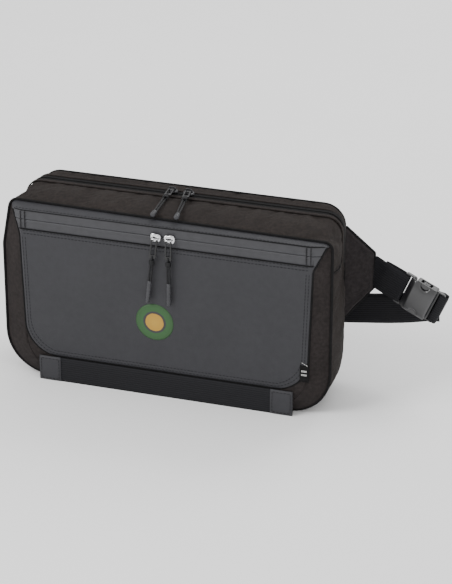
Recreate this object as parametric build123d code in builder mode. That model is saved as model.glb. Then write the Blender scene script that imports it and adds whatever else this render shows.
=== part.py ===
"""Zipped sling / waist bag with a flat front pocket, padded hip wings and a buckled webbing belt.

Millimetres, +Z up, +X to the bag's right hand as seen from the front, +Y from the front pocket to
the back panel. The origin is the centre of the flat underside.
"""

import math
import os

from build123d import *

os.makedirs("parts", exist_ok=True)

# Driving dimensions ---------------------------------------------------------------------------
WIDTH = 330.0  # bag width at the front seam
REAR_WIDTH = 306.0  # bag width at the back panel
HEIGHT = 182.0
REAR_HEIGHT = 185.0
FRONT_SEAM_Y = -32.0  # where the front pocket joins the main compartment
REAR_Y = 40.0
TOP_CORNER = 8.0  # corner radii of the front seam and of the back panel
LOW_CORNER = 42.0
REAR_CORNER = 20.0
REAR_LOW_CORNER = 34.0
WALL = 1.6  # shell fabric with its lining
BASE_TRIM = 0.5  # the shell is lofted this much lower and cut flat, so that it stands level
SKIN = 1.2  # coated pocket fabric

POCKET_DEPTH = 9.0  # from the front seam out to the back of the pocket panel
PANEL_WIDTH = 290.0
PANEL_LOW = 26.0  # the coated panel ends here, and plain fabric goes on behind the carry band
POCKET_LOW = 10.0
PANEL_HIGH = HEIGHT - 4.0
PANEL_CORNER = 32.0
PANEL_TOP_CORNER = 7.0

FRONT_ZIP_Z = 166.0
ZIP_STRIP = 19.0  # visible height of the front zip between its two seams
ZIP_HALF_LENGTH = 138.0
TAPE = 0.7
COIL = 0.5
COIL_WIDTH = 3.0

TOP_ZIP_Y = 20.0
TOP_ZIP_GAP = 0.3
TOP_ZIP_CENTRE = -4.0
TOP_ZIP_HALF = 118.0
TOP_ZIP_STRIP = 11.0

SLIDER_LENGTH = 10.5
SLIDER_WIDTH = 8.0
SLIDER_HEIGHT = 3.4
FRONT_SLIDER_X = 6.7
TOP_SLIDER_X = 8.2
CLEAR = 0.3
SLIDER_NOSE = 0.34  # half the nose's width, as a share of the slider's width
SLIDER_CORNER = 1.5
BAIL_WIDTH = 1.6
BAIL_LENGTH = 4.6
BAIL_RISE = 1.7  # from the pin to the bail's top
OVERSHOOT = 2.0  # how far a cut runs past what it cuts

PIVOT_HEIGHT = 4.7  # the pull's pin above the zip tape
PIN_RADIUS = 0.6
EYE_RADIUS = 1.0
PULL_THICK = 1.2
PULL_LEG = 1.25  # width of each of the pull's two legs
PULL_TOP = 2.9  # half widths of the pull at its pin and at its foot
PULL_FOOT = 3.3
PULL_FOOT_BAR = 3.6  # height of the solid foot that the cord's eye is in
PIN_INSET = 0.4
CORD_GAP = 0.1  # from the pull's middle line to each strand of the cord
CORD_RADIUS = 0.8
FRONT_PULL = 20.0
FRONT_CORD = 24.0
FRONT_SLEEVE = 23.0
FRONT_SLEEVE_RADIUS = 2.2
TOP_PULL = 15.0
TOP_CORD = 34.0
TOP_SLEEVE = 8.0
TOP_SLEEVE_RADIUS = 2.7
LEFT_PULL_TILT = 7.0  # degrees that the left front pull hangs off the vertical
TOP_PULL_DROOP = 5.0  # degrees that the top pulls lie below the level
TOP_RIGHT_TILT = 7.0  # degrees that the right top pull lies towards the bag's right

PAD = 5.0  # thickness of the padded back panel
WEBBING = 30.0
WEB_THICK = 1.5

WING_ROOT = 97.0
WING_TIP = 37.0
WING_LENGTH = 29.0
WING_THICK = 7.0
WING_Z = 115.0
WING_ROOT_X = 154.0
WING_ROOT_Y = 40.6
RIGHT_SWEEP = 28.0  # degrees that the right wing turns back from the bag's width
LEFT_SWEEP = 58.0

KEEPER_X = 70.0
KEEPER_LENGTH = 12.0
KEEPER_WALL = 1.4

SET_BACK = 6.0  # the buckle's own origin lies this far inside the wing's tip
BUCKLE_START = 35.0
BUCKLE_END = 79.0
BUCKLE_WIDTH = 34.0
FRAME_THICK = 3.2
HOUSING_THICK = 9.0
STRAP_SLOT = 3.6
BAR = 3.4
ARM_HEAD_X = 57.5
ARM_ROOT_X = 49.2
ARM_ROOT_Y = 9.0
ARM_THICK = 4.0
ARM_STEM = 1.5  # half the width of the arm where it leaves the tongue
HEAD_HALF = 5.0  # half the length of the arm's head, and of its flat outer face
HEAD_FLAT = 3.5
HEAD_INSET = 0.4  # from the head's flat to the buckle's side
ARM_KNUCKLE = 1.7

BAND_HALF = 128.0
BAND_HEIGHT = 25.5
BAND_TAB = 22.0
BAND_THICK = 1.4


def export(part, name):
    part.part.label = name
    export_step(part.part, f"parts/{name}.step")


def front_plane(y):
    """A sketch plane facing the front at the given y: local x is world X, local y is world Z."""
    return Plane(origin=(0, y, 0), x_dir=(1, 0, 0), z_dir=(0, -1, 0))


def rounded_outline(width, low, high, low_radius, top_radius):
    """A rounded rectangle from z = low to z = high, centred on the bag's middle."""
    with Locations((0, (low + high) / 2)):
        Rectangle(width, high - low)
    fillet(vertices().group_by(Axis.Y)[0], low_radius)
    fillet(vertices().group_by(Axis.Y)[-1], top_radius)


def body_loft(inset, low, end_gap):
    """The main compartment as a loft from the front seam to the back panel, inset all round."""
    low_radius = REAR_LOW_CORNER - inset
    top_radius = REAR_CORNER - inset
    with BuildPart() as solid:
        with BuildSketch(front_plane(FRONT_SEAM_Y + end_gap)):
            rounded_outline(WIDTH - 2 * inset, low, HEIGHT - inset, LOW_CORNER - inset, TOP_CORNER - inset)
        with BuildSketch(front_plane(REAR_Y - end_gap)):
            rounded_outline(REAR_WIDTH - 2 * inset, low, REAR_HEIGHT - inset, low_radius, top_radius)
        loft()
    return solid.part


# Main compartment -----------------------------------------------------------------------------
with BuildPart() as main_shell:
    add(body_loft(0, -BASE_TRIM, 0))
    add(body_loft(WALL, WALL, WALL), mode=Mode.SUBTRACT)
    split(bisect_by=Plane.XY, keep=Keep.TOP)
export(main_shell, "main_shell")

# Back panel: outer padded face, and the foam sheet inside the shell
PAD_INSET = 4.0  # the pad's edge inside the shell's rear edge
with BuildPart() as back_panel:
    with BuildSketch(front_plane(REAR_Y + PAD)):
        width = REAR_WIDTH - 3 * PAD_INSET
        low_radius = REAR_LOW_CORNER - PAD_INSET
        rounded_outline(width, PAD_INSET, REAR_HEIGHT - PAD_INSET, low_radius, REAR_CORNER - PAD_INSET)
    extrude(amount=PAD)
    fillet(back_panel.faces().sort_by(Axis.Y)[-1].edges(), PAD * 0.6)
export(back_panel, "back_panel")

FOAM = 4.0
FOAM_INSET = 10.0
with BuildPart() as back_foam:
    with BuildSketch(front_plane(REAR_Y - WALL)):
        width = REAR_WIDTH - 2 * FOAM_INSET
        low_radius = REAR_LOW_CORNER - FOAM_INSET
        rounded_outline(width, FOAM_INSET, REAR_HEIGHT - FOAM_INSET, low_radius, REAR_CORNER - FOAM_INSET)
    extrude(amount=FOAM)
export(back_foam, "back_foam")

# Slip pocket inside, sewn to the foam's face
SLIP = 0.8
SLIP_WIDTH = 246.0
SLIP_LOW = 12.0
SLIP_HIGH = 112.0
SLIP_CORNER = 8.0
with BuildPart() as inner_slip_pocket:
    with BuildSketch(front_plane(REAR_Y - WALL - FOAM)):
        rounded_outline(SLIP_WIDTH, SLIP_LOW, SLIP_HIGH, SLIP_CORNER, SLIP_CORNER)
    extrude(amount=SLIP)
export(inner_slip_pocket, "inner_slip_pocket")

# Front pocket: a slanting gusset ring, the back wall, and the panel with its zip --------------
PANEL_BACK = FRONT_SEAM_Y - POCKET_DEPTH
SEAM_INSET = 1.0  # the gusset is sewn this far inside the shell's front edge


def pocket_loft(inset):
    with BuildPart() as solid:
        with BuildSketch(front_plane(FRONT_SEAM_Y)):
            edge = inset + SEAM_INSET
            rounded_outline(WIDTH - 2 * edge, edge, HEIGHT - edge, LOW_CORNER - inset, TOP_CORNER - inset)
        with BuildSketch(front_plane(PANEL_BACK)):
            low_radius = PANEL_CORNER - inset
            top_radius = PANEL_TOP_CORNER - inset
            low = POCKET_LOW + inset
            rounded_outline(PANEL_WIDTH - 2 * inset, low, PANEL_HIGH - inset, low_radius, top_radius)
        loft()
    return solid.part


with BuildPart() as pocket_gusset:
    add(pocket_loft(0))
    add(pocket_loft(SKIN), mode=Mode.SUBTRACT)
export(pocket_gusset, "pocket_gusset")

LINING_INSET = 9.0
with BuildPart() as pocket_lining:
    with BuildSketch(front_plane(FRONT_SEAM_Y)):
        low = POCKET_LOW + LINING_INSET
        high = PANEL_HIGH - LINING_INSET
        rounded_outline(PANEL_WIDTH - 2 * LINING_INSET, low, high, PANEL_CORNER, PANEL_TOP_CORNER)
    extrude(amount=SLIP)
export(pocket_lining, "pocket_lining")

ZIP_LOW = FRONT_ZIP_Z - ZIP_STRIP / 2
ZIP_HIGH = FRONT_ZIP_Z + ZIP_STRIP / 2


def panel_piece(low, high):
    """The part of the pocket's front between two heights, as one layer of fabric."""
    with BuildPart() as solid:
        with BuildSketch(front_plane(PANEL_BACK)):
            rounded_outline(PANEL_WIDTH, POCKET_LOW, PANEL_HIGH, PANEL_CORNER, PANEL_TOP_CORNER)
            with Locations((0, (low + high) / 2)):
                Rectangle(WIDTH, high - low, mode=Mode.INTERSECT)
        extrude(amount=SKIN)
    return solid


SHARP = 0.2  # radius of a corner that is as good as square
with BuildPart() as front_panel:
    with BuildSketch(front_plane(PANEL_BACK)):
        rounded_outline(PANEL_WIDTH, PANEL_LOW, ZIP_LOW, PANEL_CORNER, SHARP)
    extrude(amount=SKIN)
export(front_panel, "front_panel")

pocket_base_strip = panel_piece(POCKET_LOW, PANEL_LOW + PANEL_CORNER)
with pocket_base_strip:
    add(front_panel.part, mode=Mode.SUBTRACT)
export(pocket_base_strip, "pocket_base_strip")
panel_top_strip = panel_piece(ZIP_HIGH, PANEL_HIGH)
export(panel_top_strip, "panel_top_strip")

front_zip_tape = panel_piece(ZIP_LOW, ZIP_HIGH)
export(front_zip_tape, "front_zip_tape")

PANEL_FACE = PANEL_BACK - SKIN
with BuildPart() as front_zip_coil:
    with BuildSketch(front_plane(PANEL_FACE)):
        with Locations((0, FRONT_ZIP_Z)):
            RectangleRounded(2 * ZIP_HALF_LENGTH, COIL_WIDTH, 0.8)
    extrude(amount=COIL)
export(front_zip_coil, "front_zip_coil")

STOP_X = ZIP_HALF_LENGTH + 3.0  # a sewn bar across each end of the front zip
STOP_WIDTH = 4.0
STOP_THICK = 0.8
with BuildPart() as front_zip_stops:
    with BuildSketch(front_plane(PANEL_FACE)):
        with Locations((-STOP_X, FRONT_ZIP_Z), (STOP_X, FRONT_ZIP_Z)):
            RectangleRounded(STOP_WIDTH, ZIP_STRIP - STOP_WIDTH, 1)
    extrude(amount=STOP_THICK)
export(front_zip_stops, "front_zip_stops")

# Main zip along the top -----------------------------------------------------------------------
top_zip_run = (TOP_ZIP_Y - FRONT_SEAM_Y) / (REAR_Y - FRONT_SEAM_Y)
TOP_Z = HEIGHT - (HEIGHT - REAR_HEIGHT) * top_zip_run
TAPE_OVERHANG = 4.0
with BuildPart() as top_zip_tape:
    with BuildSketch(Plane.XY.offset(TOP_Z + TOP_ZIP_GAP)):
        with Locations((0, TOP_ZIP_Y)):
            RectangleRounded(2 * (TOP_ZIP_HALF + TAPE_OVERHANG), TOP_ZIP_STRIP, 2)
    extrude(amount=TAPE)
export(top_zip_tape, "top_zip_tape")

with BuildPart() as top_zip_coil:
    with BuildSketch(Plane.XY.offset(TOP_Z + TOP_ZIP_GAP + TAPE)):
        with Locations((0, TOP_ZIP_Y)):
            RectangleRounded(2 * TOP_ZIP_HALF, COIL_WIDTH, 0.8)
    extrude(amount=COIL)
export(top_zip_coil, "top_zip_coil")

# Carry band under the pocket, with a coated tab at each end ------------------------------------
BAND_BACK = PANEL_FACE - CLEAR
with BuildPart() as bottom_band:
    with BuildSketch(front_plane(BAND_BACK)):
        with Locations((0, BAND_HEIGHT / 2)):
            Rectangle(2 * (BAND_HALF - BAND_TAB), BAND_HEIGHT)
    extrude(amount=BAND_THICK)
export(bottom_band, "bottom_band")

TAB_LAYER = 0.6  # the coated fabric over the band's end
for side, name in ((-1, "band_tab_left"), (1, "band_tab_right")):
    with BuildPart() as band_tab:
        with BuildSketch(front_plane(BAND_BACK)):
            with Locations((side * (BAND_HALF - BAND_TAB / 2), BAND_HEIGHT / 2)):
                Rectangle(BAND_TAB, BAND_HEIGHT)
        extrude(amount=BAND_THICK + TAB_LAYER)
    export(band_tab, name)

# Small loop label and a plain round badge ------------------------------------------------------
LABEL_X = 139.0
LABEL_Z = 46.0
LABEL_WIDTH = 9.0
LABEL_HEIGHT = 17.0
LABEL_THICK = 0.8
with BuildPart() as side_label:
    with BuildSketch(front_plane(BAND_BACK)):
        with Locations((LABEL_X, LABEL_Z)):
            RectangleRounded(LABEL_WIDTH, LABEL_HEIGHT, 1.5)
    extrude(amount=LABEL_THICK)
export(side_label, "side_label")

BADGE_X = -9.0
BADGE_Z = 78.0
BADGE_RADIUS = 19.0
BADGE_THICK = 0.4
with BuildPart() as pocket_badge:
    with BuildSketch(front_plane(PANEL_FACE)):
        with Locations((BADGE_X, BADGE_Z)):
            Circle(BADGE_RADIUS)
    extrude(amount=BADGE_THICK)
export(pocket_badge, "pocket_badge")


# Zip sliders with their pulls -------------------------------------------------------------------
def make_slider(name, base, nose):
    """A zip slider: a body tapered to its nose, a groove over the coil, and a bail for the pull.
    base lies on the zip tape: local x along the zip, local z off the bag. nose is +1 or -1."""
    with BuildPart() as slider:
        with BuildSketch(base.offset(CLEAR)):
            with BuildLine():
                Polyline(
                    (nose * SLIDER_LENGTH / 2, -SLIDER_WIDTH * SLIDER_NOSE),
                    (-nose * SLIDER_LENGTH / 2, -SLIDER_WIDTH / 2),
                    (-nose * SLIDER_LENGTH / 2, SLIDER_WIDTH / 2),
                    (nose * SLIDER_LENGTH / 2, SLIDER_WIDTH * SLIDER_NOSE),
                    close=True,
                )
            make_face()
            fillet(vertices(), SLIDER_CORNER)
        extrude(amount=SLIDER_HEIGHT - CLEAR)
        with BuildSketch(base.offset(CLEAR)):
            Rectangle(SLIDER_LENGTH + OVERSHOOT, COIL_WIDTH + 2 * CLEAR)
        extrude(amount=COIL, mode=Mode.SUBTRACT)
        with BuildSketch(base.offset(SLIDER_HEIGHT)):
            RectangleRounded(BAIL_WIDTH, BAIL_LENGTH, 0.5)
        extrude(amount=PIVOT_HEIGHT + BAIL_RISE - SLIDER_HEIGHT)
        pin_start = base.from_local_coords((-BAIL_WIDTH, 0, PIVOT_HEIGHT))
        pin_plane = Plane(pin_start, base.y_dir, base.x_dir)
        with BuildSketch(pin_plane):
            Circle(PIN_RADIUS + CLEAR)
        extrude(amount=2 * BAIL_WIDTH, mode=Mode.SUBTRACT)
    export(slider, name)


def make_pull(name, base, lengths, sleeve_radius, tilt=0.0, droop=0.0):
    """The metal pull, its doubled cord and the moulded end, hanging towards local -y of base."""
    pull_length, cord_length, sleeve_length = lengths
    lean = math.radians(tilt)
    leaning_x = base.x_dir * math.cos(lean) + base.y_dir * math.sin(lean)
    fall = math.radians(droop)
    leaning_y = base.z_dir.cross(leaning_x)
    outward = base.z_dir * math.cos(fall) - leaning_y * math.sin(fall)
    plane = Plane(base.offset(PIVOT_HEIGHT).origin, leaning_x, outward)
    with BuildPart() as pull:
        with BuildSketch(plane):
            with BuildLine():
                Polyline(
                    (-PULL_TOP, PIN_RADIUS),
                    (PULL_TOP, PIN_RADIUS),
                    (PULL_FOOT, -pull_length),
                    (-PULL_FOOT, -pull_length),
                    close=True,
                )
            make_face()
            with BuildLine():
                Polyline(
                    (PULL_LEG - PULL_TOP, OVERSHOOT),
                    (PULL_TOP - PULL_LEG, OVERSHOOT),
                    (PULL_FOOT - PULL_LEG, PULL_FOOT_BAR - pull_length),
                    (PULL_LEG - PULL_FOOT, PULL_FOOT_BAR - pull_length),
                    close=True,
                )
            make_face(mode=Mode.SUBTRACT)
            with Locations((0, PULL_FOOT_BAR / 2 - pull_length)):
                Circle(EYE_RADIUS, mode=Mode.SUBTRACT)
        extrude(amount=PULL_THICK / 2, both=True)
        pin_start = plane.from_local_coords((PIN_INSET - PULL_TOP, 0, 0))
        with BuildSketch(Plane(pin_start, plane.y_dir, plane.x_dir)):
            Circle(PIN_RADIUS)
        extrude(amount=2 * (PULL_TOP - PIN_INSET))
    export(pull, f"{name}_pull")

    with BuildPart() as cord:
        for x in (-CORD_RADIUS - CORD_GAP, CORD_RADIUS + CORD_GAP):
            start = plane.from_local_coords((x, -pull_length, 0))
            with BuildSketch(Plane(start, plane.x_dir, -plane.y_dir)):
                Circle(CORD_RADIUS)
            extrude(amount=cord_length)
    export(cord, f"{name}_pull_cord")

    with BuildPart() as sleeve:
        start = plane.from_local_coords((0, -pull_length - cord_length, 0))
        with BuildSketch(Plane(start, plane.x_dir, -plane.y_dir)):
            Circle(sleeve_radius)
        extrude(amount=sleeve_length)
        fillet(sleeve.edges(), sleeve_radius * 0.6)
    export(sleeve, f"{name}_pull_end")


FRONT_PARTS = (FRONT_PULL, FRONT_CORD, FRONT_SLEEVE)
TOP_PARTS = (TOP_PULL, TOP_CORD, TOP_SLEEVE)
TAPE_TOP = TOP_Z + TOP_ZIP_GAP + TAPE
for side, word in ((-1, "left"), (1, "right")):
    on_front = front_plane(PANEL_FACE).shift_origin((side * FRONT_SLIDER_X, PANEL_FACE, FRONT_ZIP_Z))
    make_slider(f"front_{word}_slider", on_front, -side)
    front_tilt = -LEFT_PULL_TILT if side < 0 else 0.0
    make_pull(f"front_{word}", on_front, FRONT_PARTS, FRONT_SLEEVE_RADIUS, front_tilt)
    top_x = TOP_ZIP_CENTRE + side * TOP_SLIDER_X
    on_top = Plane(origin=(top_x, TOP_ZIP_Y, TAPE_TOP), x_dir=(1, 0, 0), z_dir=(0, 0, 1))
    make_slider(f"top_{word}_slider", on_top, -side)
    top_tilt = TOP_RIGHT_TILT if side > 0 else 0.0
    make_pull(f"top_{word}", on_top, TOP_PARTS, TOP_SLEEVE_RADIUS, top_tilt, TOP_PULL_DROOP)


# Hip wings --------------------------------------------------------------------------------------
def wing_plane(side, sweep):
    """Local x runs out along the wing, local y is up, and local z faces the front."""
    turn = math.radians(sweep)
    origin = (side * WING_ROOT_X, WING_ROOT_Y, WING_Z)
    out = (side * math.cos(turn), math.sin(turn), 0)
    return Plane(origin=origin, x_dir=out, z_dir=(math.sin(turn), -side * math.cos(turn), 0))


for side, word, sweep in ((-1, "left", LEFT_SWEEP), (1, "right", RIGHT_SWEEP)):
    with BuildPart() as wing:
        with BuildSketch(wing_plane(side, sweep)):
            with BuildLine():
                Polyline(
                    (0, -WING_ROOT / 2),
                    (WING_LENGTH, -WING_TIP / 2),
                    (WING_LENGTH, WING_TIP / 2),
                    (0, WING_ROOT / 2),
                    close=True,
                )
            make_face()
        extrude(amount=-side * WING_THICK)
    export(wing, f"hip_wing_{word}")

# Short webbing and the buckle's male half, in a frame that runs out of the right wing's tip ------
BUCKLE_WAY = Vector(0.9146, -0.1015, -0.3899).normalized()
WING_END = wing_plane(1, RIGHT_SWEEP).from_local_coords((WING_LENGTH, 0, -WING_THICK / 2))
TIP = WING_END - BUCKLE_WAY * SET_BACK
FACING = (Vector(0, -1, 0) - BUCKLE_WAY * Vector(0, -1, 0).dot(BUCKLE_WAY)).normalized()
BUCKLE = Plane(origin=TIP, x_dir=BUCKLE_WAY, z_dir=FACING)
SIDE_ON = Plane(origin=BUCKLE.origin, x_dir=BUCKLE.x_dir, z_dir=-BUCKLE.y_dir)
HALF_BAR = FRAME_THICK / 2
LAYER = HALF_BAR + CLEAR


def folded_webbing(near, slot, tail_end, width):
    """Webbing seen on edge: one layer over the bar, through the slot and back under it."""
    with BuildPart() as webbing:
        with BuildSketch(SIDE_ON):
            for low, start in ((LAYER, near), (-LAYER - WEB_THICK, tail_end)):
                with Locations(((start + slot) / 2, low + WEB_THICK / 2)):
                    Rectangle(abs(slot - start), WEB_THICK)
            with Locations((slot, 0)):
                Rectangle(WEB_THICK, 2 * (LAYER + WEB_THICK))
        extrude(amount=width / 2, both=True)
    return webbing


MALE_SLOT = BUCKLE_START + BAR + STRAP_SLOT / 2
SHORT_START = 15.5  # clear of the wing that it is sewn into
SHORT_TAIL = 20.0
short_webbing = folded_webbing(SHORT_START, MALE_SLOT, SHORT_TAIL, WEBBING)
export(short_webbing, "short_webbing")

MALE_END = 47.0
SLOT_HEIGHT = WEBBING + 1.0
TONGUE_WIDTH = 5.0
with BuildPart() as buckle_male:
    with BuildSketch(BUCKLE):
        with Locations(((BUCKLE_START + MALE_END) / 2, 0)):
            RectangleRounded(MALE_END - BUCKLE_START, BUCKLE_WIDTH, 2.5)
        with Locations((MALE_SLOT, 0)):
            Rectangle(STRAP_SLOT, SLOT_HEIGHT, mode=Mode.SUBTRACT)
        with Locations((MALE_END + 8, 0)):
            Rectangle(20, TONGUE_WIDTH)
    extrude(amount=HALF_BAR, both=True)
export(buckle_male, "buckle_male")

for side, word in ((-1, "lower"), (1, "upper")):
    with BuildPart() as arm:
        with BuildSketch(BUCKLE):
            with BuildLine():
                Polyline(
                    (ARM_ROOT_X, side * (ARM_ROOT_Y - ARM_STEM)),
                    (ARM_HEAD_X + HEAD_HALF, side * (ARM_ROOT_Y + 0.5)),
                    (ARM_HEAD_X + HEAD_HALF, side * (ARM_ROOT_Y + 4)),
                    (ARM_HEAD_X + HEAD_FLAT, side * (BUCKLE_WIDTH / 2 - HEAD_INSET)),
                    (ARM_HEAD_X - HEAD_FLAT, side * (BUCKLE_WIDTH / 2 - HEAD_INSET)),
                    (ARM_HEAD_X - HEAD_HALF, side * (ARM_ROOT_Y + 3)),
                    (ARM_ROOT_X, side * (ARM_ROOT_Y + ARM_STEM)),
                    close=True,
                )
            make_face()
            with Locations((ARM_ROOT_X, side * ARM_ROOT_Y)):
                Circle(ARM_KNUCKLE)
        extrude(amount=ARM_THICK / 2, both=True)
    export(arm, f"release_arm_{word}")

# Female half: a housing, hollow from its mouth, with a window each side and a bar for the strap --
MOUTH = 47.6
CAVITY_END = 68.0
CAVITY_WIDTH = BUCKLE_WIDTH - 6.0
CAVITY_SIDE = 1.6  # wall thickness in front of and behind the cavity
HOUSING_END = 70.0
FEMALE_SLOT = BUCKLE_END - BAR - STRAP_SLOT / 2
STRAP_END_START = 66.0  # the flat strap end begins inside the housing
ARM_WINDOW = 12.0  # length of the opening in each side
MOUTH_STEP = 0.5
with BuildPart() as buckle_female:
    with BuildSketch(BUCKLE):
        with Locations(((MOUTH + HOUSING_END) / 2, 0)):
            RectangleRounded(HOUSING_END - MOUTH, BUCKLE_WIDTH, 2)
    extrude(amount=HOUSING_THICK / 2, both=True)
    with BuildSketch(BUCKLE):
        with Locations(((STRAP_END_START + BUCKLE_END) / 2, 0)):
            RectangleRounded(BUCKLE_END - STRAP_END_START, BUCKLE_WIDTH - 1, 3)
    extrude(amount=HALF_BAR, both=True)
    with BuildSketch(BUCKLE):
        with Locations((FEMALE_SLOT, 0)):
            Rectangle(STRAP_SLOT, SLOT_HEIGHT)
    extrude(amount=HOUSING_THICK, both=True, mode=Mode.SUBTRACT)
    with BuildSketch(BUCKLE):
        with Locations(((MOUTH + CAVITY_END) / 2, 0)):
            Rectangle(CAVITY_END - MOUTH, CAVITY_WIDTH)
        with Locations((MOUTH, 0)):
            Rectangle(2 * MOUTH_STEP, CAVITY_WIDTH)
        with Locations((ARM_HEAD_X, 0)):
            Rectangle(ARM_WINDOW, BUCKLE_WIDTH + OVERSHOOT)
    extrude(amount=HOUSING_THICK / 2 - CAVITY_SIDE, both=True, mode=Mode.SUBTRACT)
export(buckle_female, "buckle_female")

# The belt's sewn end wraps the female half's bar from behind
LOOP_START = 70.5
LOOP_END = BUCKLE_END + 2.35
LOOP_BACK = -HOUSING_THICK / 2 - WEB_THICK - 0.95
LOOP_FRONT = LAYER + WEB_THICK
WIDEST_BEND = 1500.0
with BuildPart() as strap_end_loop:
    with BuildSketch(SIDE_ON):
        with Locations(((LOOP_START + LOOP_END) / 2, LOOP_BACK + WEB_THICK / 2)):
            Rectangle(LOOP_END - LOOP_START, WEB_THICK)
        with Locations(((FEMALE_SLOT + LOOP_END) / 2, LAYER + WEB_THICK / 2)):
            Rectangle(LOOP_END - FEMALE_SLOT + WEB_THICK, WEB_THICK)
        for x in (FEMALE_SLOT, LOOP_END - WEB_THICK / 2):
            with Locations((x, (LOOP_BACK + LOOP_FRONT) / 2)):
                Rectangle(WEB_THICK, LOOP_FRONT - LOOP_BACK)
    extrude(amount=WEBBING / 2, both=True)
export(strap_end_loop, "strap_end_loop")


# Waist belt: stands on edge and hangs in a shallow arc behind the bag ----------------------------
def open_radii(points):
    """The largest even radius for each corner of a route: 0.45 of the shorter run."""
    radii = []
    for before, here, after in zip(points, points[1:], points[2:]):
        first = Vector(*here) - Vector(*before)
        second = Vector(*after) - Vector(*here)
        half_turn = math.radians(first.get_angle(second) / 2)
        reach = 0.45 * min(first.length, second.length)
        radii.append(min(WIDEST_BEND, reach / math.tan(half_turn)))
    return radii


def hanging_webbing(points, name):
    """Webbing on edge along a plan route, trimmed above and below to the arc that it hangs in."""
    with BuildPart() as webbing:
        with BuildSketch(Plane.XY):
            with BuildLine() as route:
                FilletPolyline(*points, radius=open_radii(points))
            trace(route.line, line_width=WEB_THICK)
        extrude(amount=HEIGHT)
        with BuildSketch(front_plane(0)):
            with BuildLine():
                low = ThreePointArc(*((x, z - WEBBING / 2) for x, z in SAG))
                high = ThreePointArc(*((x, z + WEBBING / 2) for x, z in SAG))
                Line(low @ 0, high @ 0)
                Line(low @ 1, high @ 1)
            make_face()
        extrude(amount=-HEIGHT, mode=Mode.INTERSECT)
    radii = [round(r, 1) for r in open_radii(points)]
    print(name, "length", round(route.wires()[0].length, 1), "radii", radii)
    export(webbing, name)


SAG = ((-190, 110.5), (KEEPER_X, 60), (256.5, 91.1))
BELT_ROUTE = (
    (243.5, 59.2),
    (226, 59.6),
    (209, 60.6),
    (190, 63.0),
    (168, 65.8),
    (140, 67.0),
    (-40, 67.0),
    (-100, 71.0),
    (-145, 80.0),
    (-165, 83.5),
    (-172, 77.0),
    (-167.2, 69.0),
)
TAIL_ROUTE = (
    (234.5, 61.5),
    (221.5, 61.9),
    (208.5, 62.7),
    (190, 65.1),
    (168, 67.9),
    (140, 69.1),
    (5, 69.1),
)
hanging_webbing(BELT_ROUTE, "waist_belt")
hanging_webbing(TAIL_ROUTE, "belt_tail")

# Elastic keeper that holds the belt's tail against it
KEEPER_Y = 68.05
KEEPER_ROOM_Y = 2.6
KEEPER_ROOM_Z = WEBBING / 2 + 1.8
KEEPER_Z = 60.0
keeper_start = (KEEPER_X - KEEPER_LENGTH / 2, KEEPER_Y, KEEPER_Z)
with BuildPart() as belt_keeper:
    with BuildSketch(Plane(origin=keeper_start, x_dir=(0, 1, 0), z_dir=(1, 0, 0))):
        RectangleRounded(2 * (KEEPER_ROOM_Y + KEEPER_WALL), 2 * (KEEPER_ROOM_Z + KEEPER_WALL), 1.6)
        Rectangle(2 * KEEPER_ROOM_Y, 2 * KEEPER_ROOM_Z, mode=Mode.SUBTRACT)
    extrude(amount=KEEPER_LENGTH)
export(belt_keeper, "belt_keeper")
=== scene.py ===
from math import atan2, copysign, cos, exp, inf, pi, radians, sin, sqrt, tau

import bmesh
import bpy
import numpy as np
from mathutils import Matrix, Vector, noise
from mathutils.bvhtree import BVHTree


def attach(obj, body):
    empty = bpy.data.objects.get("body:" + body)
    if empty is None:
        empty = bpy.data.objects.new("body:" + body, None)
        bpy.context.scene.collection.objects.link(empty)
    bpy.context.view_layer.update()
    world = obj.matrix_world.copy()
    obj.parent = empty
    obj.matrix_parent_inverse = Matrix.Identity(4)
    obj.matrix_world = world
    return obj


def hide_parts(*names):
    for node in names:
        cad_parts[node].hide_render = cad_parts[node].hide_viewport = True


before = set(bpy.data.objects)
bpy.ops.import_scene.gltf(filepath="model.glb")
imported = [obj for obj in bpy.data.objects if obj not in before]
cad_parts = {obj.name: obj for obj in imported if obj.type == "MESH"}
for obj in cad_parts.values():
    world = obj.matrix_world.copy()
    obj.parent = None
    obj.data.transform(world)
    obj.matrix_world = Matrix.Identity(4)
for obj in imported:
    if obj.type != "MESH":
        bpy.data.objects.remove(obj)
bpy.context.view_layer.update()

scene = bpy.context.scene

MM = 0.001  # the script measures in millimetres and Blender in metres

# Sizes of the bag in millimetres, which follow from those in the CAD source
HALF_WIDTH = 165
HEIGHT = 182
FRONT_SEAM_Y = -32.0
REAR_Y = 40.0
PANEL_FACE = -42.2
PANEL_HALF = 145.0
PANEL_LOW = 26.0
PANEL_HIGH = 178.0
POCKET_LOW = 10
LOW_RADIUS = 32.0
ZIP_LOW = 156.5
ZIP_HIGH = 175.5
ZIP_MIDDLE = 166.0
FRONT_SLIDER_X = 6.7
TOP_SLIDER_X = 8.2
TOP_ZIP_CENTRE = -4
TOP_ZIP_Y = 20.0
TAPE_TOP = 185.167
PIVOT_HEIGHT = 4.7  # the pulls' pins above the zip tape
BELT_WIDTH = 30.0
BELT_THICK = 1.5
TIP = Vector((172.471, 57.914, 117.341))  # the buckle's origin, just inside the right wing's end
ALONG = Vector((0.91514, -0.10156, -0.39013))  # the buckle's length, width and face
ACROSS = Vector((0.39216, 0.0, 0.91990))
FACING = Vector((-0.09342, -0.99483, 0.03983))
UP = Vector((0, 0, 1))
FORWARD = Vector((0, -1, 0))
BACKWARD = Vector((0, 1, 0))

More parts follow.
